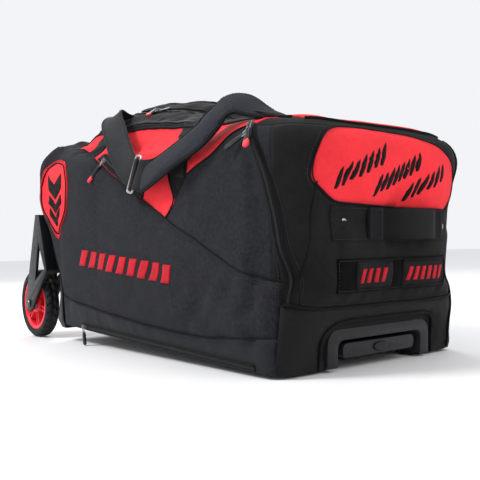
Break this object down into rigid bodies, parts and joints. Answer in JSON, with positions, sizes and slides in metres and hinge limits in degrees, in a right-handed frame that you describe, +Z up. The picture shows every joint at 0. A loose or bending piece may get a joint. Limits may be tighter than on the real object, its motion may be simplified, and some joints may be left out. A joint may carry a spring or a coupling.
{
  "type": "rolling duffel bag",
  "caption": "Wheeled duffel bag with a padded fabric body, hinged top lid, carry handles, telescopic trolley handle and wheels in A-shaped brackets.",
  "frame": {"origin": "on the ground, below the centre of the whole bag", "axes": "+X from the wheels to the trolley handle end, +Y from the front side with the diagonal pocket to the back, +Z up as the bag stands"},
  "size_m": [0.95, 0.4866, 0.4956],
  "materials": {
    "fabric_grey": "bluish grey-black woven polyester",
    "fabric_black": "black woven polyester",
    "fabric_red": "bright red woven polyester",
    "stiffener": "hard board",
    "hook_tape": "loop tape pile",
    "cup_plastic": "moulded dark grey plastic",
    "black_plastic": "moulded black plastic",
    "foot_rubber": "rubber",
    "webbing": "woven webbing",
    "zip_tape": "zip tape and coil",
    "tyre": "solid tread",
    "hub_red": "red moulded hub",
    "steel": "plated steel",
    "aluminium": "drawn tube",
    "pull_plastic": "moulded rubbery pull"
  },
  "bodies": {
    "bag": {"front_panel": "fabric_grey", "back_panel": "fabric_grey", "handle_end_panel": "fabric_black", "wheel_end_panel": "fabric_black", "base_panel": "fabric_black", "top_panel": "fabric_red", "base_board": "stiffener", "pocket_zip_track": "zip_tape", "end_zip_track": "zip_tape", "base_zip_track": "zip_tape", "lid_zip_track": "zip_tape", "side_crest_patch": "fabric_red", "end_inset_panel": "fabric_red", "hook_strip": "hook_tape", "patch_front": "fabric_black", "patch_back": "fabric_black", "front_band_left": "webbing", "front_band_right": "webbing", "rear_band_left": "webbing", "rear_band_right": "webbing", "handle_cup": "cup_plastic", "wheel_housing": "black_plastic", "wheel_bracket_front": "black_plastic", "wheel_bracket_back": "black_plastic", "axle_front": "steel", "axle_back": "steel", "trolley_sleeve_front": "aluminium", "trolley_sleeve_back": "aluminium", "grab_handle": "webbing", "frame_rivet_front": "steel", "frame_rivet_back": "steel", "rest_foot_front": "foot_rubber", "rest_foot_back": "foot_rubber"},
    "wheel_front": {"tyre_front": "tyre", "hub_front": "hub_red", "bearing_front": "steel"},
    "wheel_back": {"tyre_back": "tyre", "hub_back": "hub_red", "bearing_back": "steel"},
    "trolley_middle": {"trolley_middle_tube_front": "aluminium", "trolley_middle_tube_back": "aluminium"},
    "trolley_inner": {"trolley_inner_tube_front": "aluminium", "trolley_inner_tube_back": "aluminium", "trolley_grip": "black_plastic"},
    "release_button": {"release_button": "cup_plastic"},
    "lid": {"lid_flap": "fabric_black"},
    "front_carry_handle": {"front_handle_web": "webbing", "front_handle_ring": "steel", "front_handle_pad": "webbing"},
    "rear_carry_handle": {"rear_handle_leg_left": "webbing", "rear_handle_leg_right": "webbing", "rear_handle_pad": "webbing"},
    "pocket_slider": {"pocket_slider": "steel"},
    "pocket_pull": {"pocket_pull": "pull_plastic"},
    "end_zip_slider": {"end_zip_slider": "steel"},
    "end_zip_pull": {"end_zip_pull": "pull_plastic"},
    "base_zip_slider": {"base_zip_slider": "steel"},
    "base_zip_pull": {"base_zip_pull": "pull_plastic"},
    "lid_slider": {"lid_slider": "steel"},
    "lid_pull": {"lid_pull": "pull_plastic"}
  },
  "joints": [
    {"name": "wheel_front_spin", "type": "hinge", "parent": "bag", "child": "wheel_front", "pos_m": [-0.39908, -0.2004, 0.076], "axis": [0, 1, 0], "continuous": true},
    {"name": "wheel_back_spin", "type": "hinge", "parent": "bag", "child": "wheel_back", "pos_m": [-0.39908, 0.2116, 0.076], "axis": [0, 1, 0], "continuous": true},
    {"name": "trolley_middle_slide", "type": "slide", "parent": "bag", "child": "trolley_middle", "axis": [0.9989, 0, -0.0471], "range_m": [0, 0.2]},
    {"name": "trolley_inner_slide", "type": "slide", "parent": "trolley_middle", "child": "trolley_inner", "axis": [0.9989, 0, -0.0471], "range_m": [0, 0.2]},
    {"name": "release_button_press", "type": "slide", "parent": "trolley_inner", "child": "release_button", "axis": [-0.9989, 0, 0.0471], "range_m": [0, 0.003], "stiffness_N_per_m": 400},
    {"name": "lid_hinge", "type": "hinge", "parent": "bag", "child": "lid", "pos_m": [0.09086, 0.1559, 0.44533], "axis": [-0.9989, 0, 0.0471], "range_deg": [0, 115]},
    {"name": "front_handle_swing", "type": "hinge", "parent": "bag", "child": "front_carry_handle", "pos_m": [-0.12371, -0.1404, 0.45945], "axis": [-0.9907, -0.039, 0.1306], "range_deg": [0, 40]},
    {"name": "rear_handle_swing", "type": "hinge", "parent": "bag", "child": "rear_carry_handle", "pos_m": [0.08681, 0.2336, 0.35943], "axis": [0.9989, 0, -0.0471], "range_deg": [0, 120]},
    {"name": "pocket_slider_run", "type": "slide", "parent": "bag", "child": "pocket_slider", "axis": [0.9015, 0.0085, -0.4326], "range_m": [0, 0.3]},
    {"name": "pocket_pull_flip", "type": "hinge", "parent": "pocket_slider", "child": "pocket_pull", "pos_m": [-0.06623, -0.21732, 0.34232], "axis": [-0.9576, -0.0053, 0.288], "range_deg": [0, 90]},
    {"name": "end_zip_slider_run", "type": "slide", "parent": "bag", "child": "end_zip_slider", "axis": [0.207, 0.021, -0.9781], "range_m": [0, 0.2]},
    {"name": "end_zip_pull_flip", "type": "hinge", "parent": "end_zip_slider", "child": "end_zip_pull", "pos_m": [0.36987, -0.21732, 0.32567], "axis": [-0.9702, -0.0043, 0.2421], "range_deg": [0, 60]},
    {"name": "base_zip_slider_run", "type": "slide", "parent": "bag", "child": "base_zip_slider", "axis": [0.9989, 0, -0.0471], "range_m": [0, 0.5]},
    {"name": "base_zip_pull_flip", "type": "hinge", "parent": "base_zip_slider", "child": "base_zip_pull", "pos_m": [-0.1566, -0.21071, 0.03798], "axis": [-0.9989, 0, 0.0471], "range_deg": [0, 90]},
    {"name": "lid_slider_run", "type": "slide", "parent": "bag", "child": "lid_slider", "axis": [0.9989, 0, -0.0471], "range_m": [0, 0.12]},
    {"name": "lid_pull_flip", "type": "hinge", "parent": "lid_slider", "child": "lid_pull", "pos_m": [-0.08416, -0.09321, 0.48711], "axis": [-0.993, 0.0887, 0.0779], "range_deg": [0, 90]}
  ]
}
